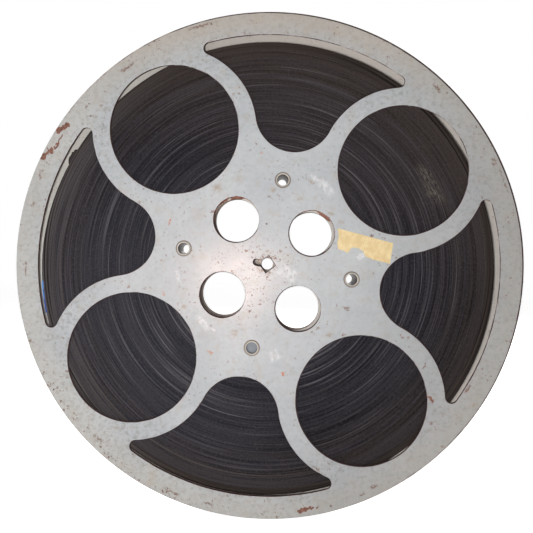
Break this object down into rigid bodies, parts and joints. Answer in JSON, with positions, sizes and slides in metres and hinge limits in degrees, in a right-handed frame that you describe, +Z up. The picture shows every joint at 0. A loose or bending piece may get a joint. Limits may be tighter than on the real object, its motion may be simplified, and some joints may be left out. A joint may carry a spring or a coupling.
{
  "type": "cine film reel",
  "caption": "Steel cine film reel: two pierced round flanges riveted over a core drum, with film wound between them, turning on a square or round spindle.",
  "frame": {"origin": "centre of the reel, on its spindle axis and midway between the flanges", "axes": "+Y along the spindle axis, towards the rear flange with the round hole; +Z up; the front flange with the square hole faces -Y"},
  "size_m": [0.3492, 0.0202, 0.3492],
  "materials": {
    "grey_paint": "worn light grey enamel on steel sheet, chipped to rust",
    "drum_steel": "plain rolled steel strip",
    "rivet_steel": "dull plated steel",
    "film": "dark film edges, satin",
    "film_end": "brownish film, satin",
    "blue_tape": "satin adhesive tape",
    "masking_tape": "aged crepe paper tape"
  },
  "bodies": {
    "root": {"front_flange": "grey_paint", "rear_flange": "grey_paint", "core_drum": "drum_steel", "hub_rivet_1": "rivet_steel", "hub_rivet_2": "rivet_steel", "hub_rivet_3": "rivet_steel", "hub_rivet_4": "rivet_steel", "film_pack": "film", "film_tail": "film_end", "tail_tape": "blue_tape", "label_tape": "masking_tape"}
  },
  "joints": []
}
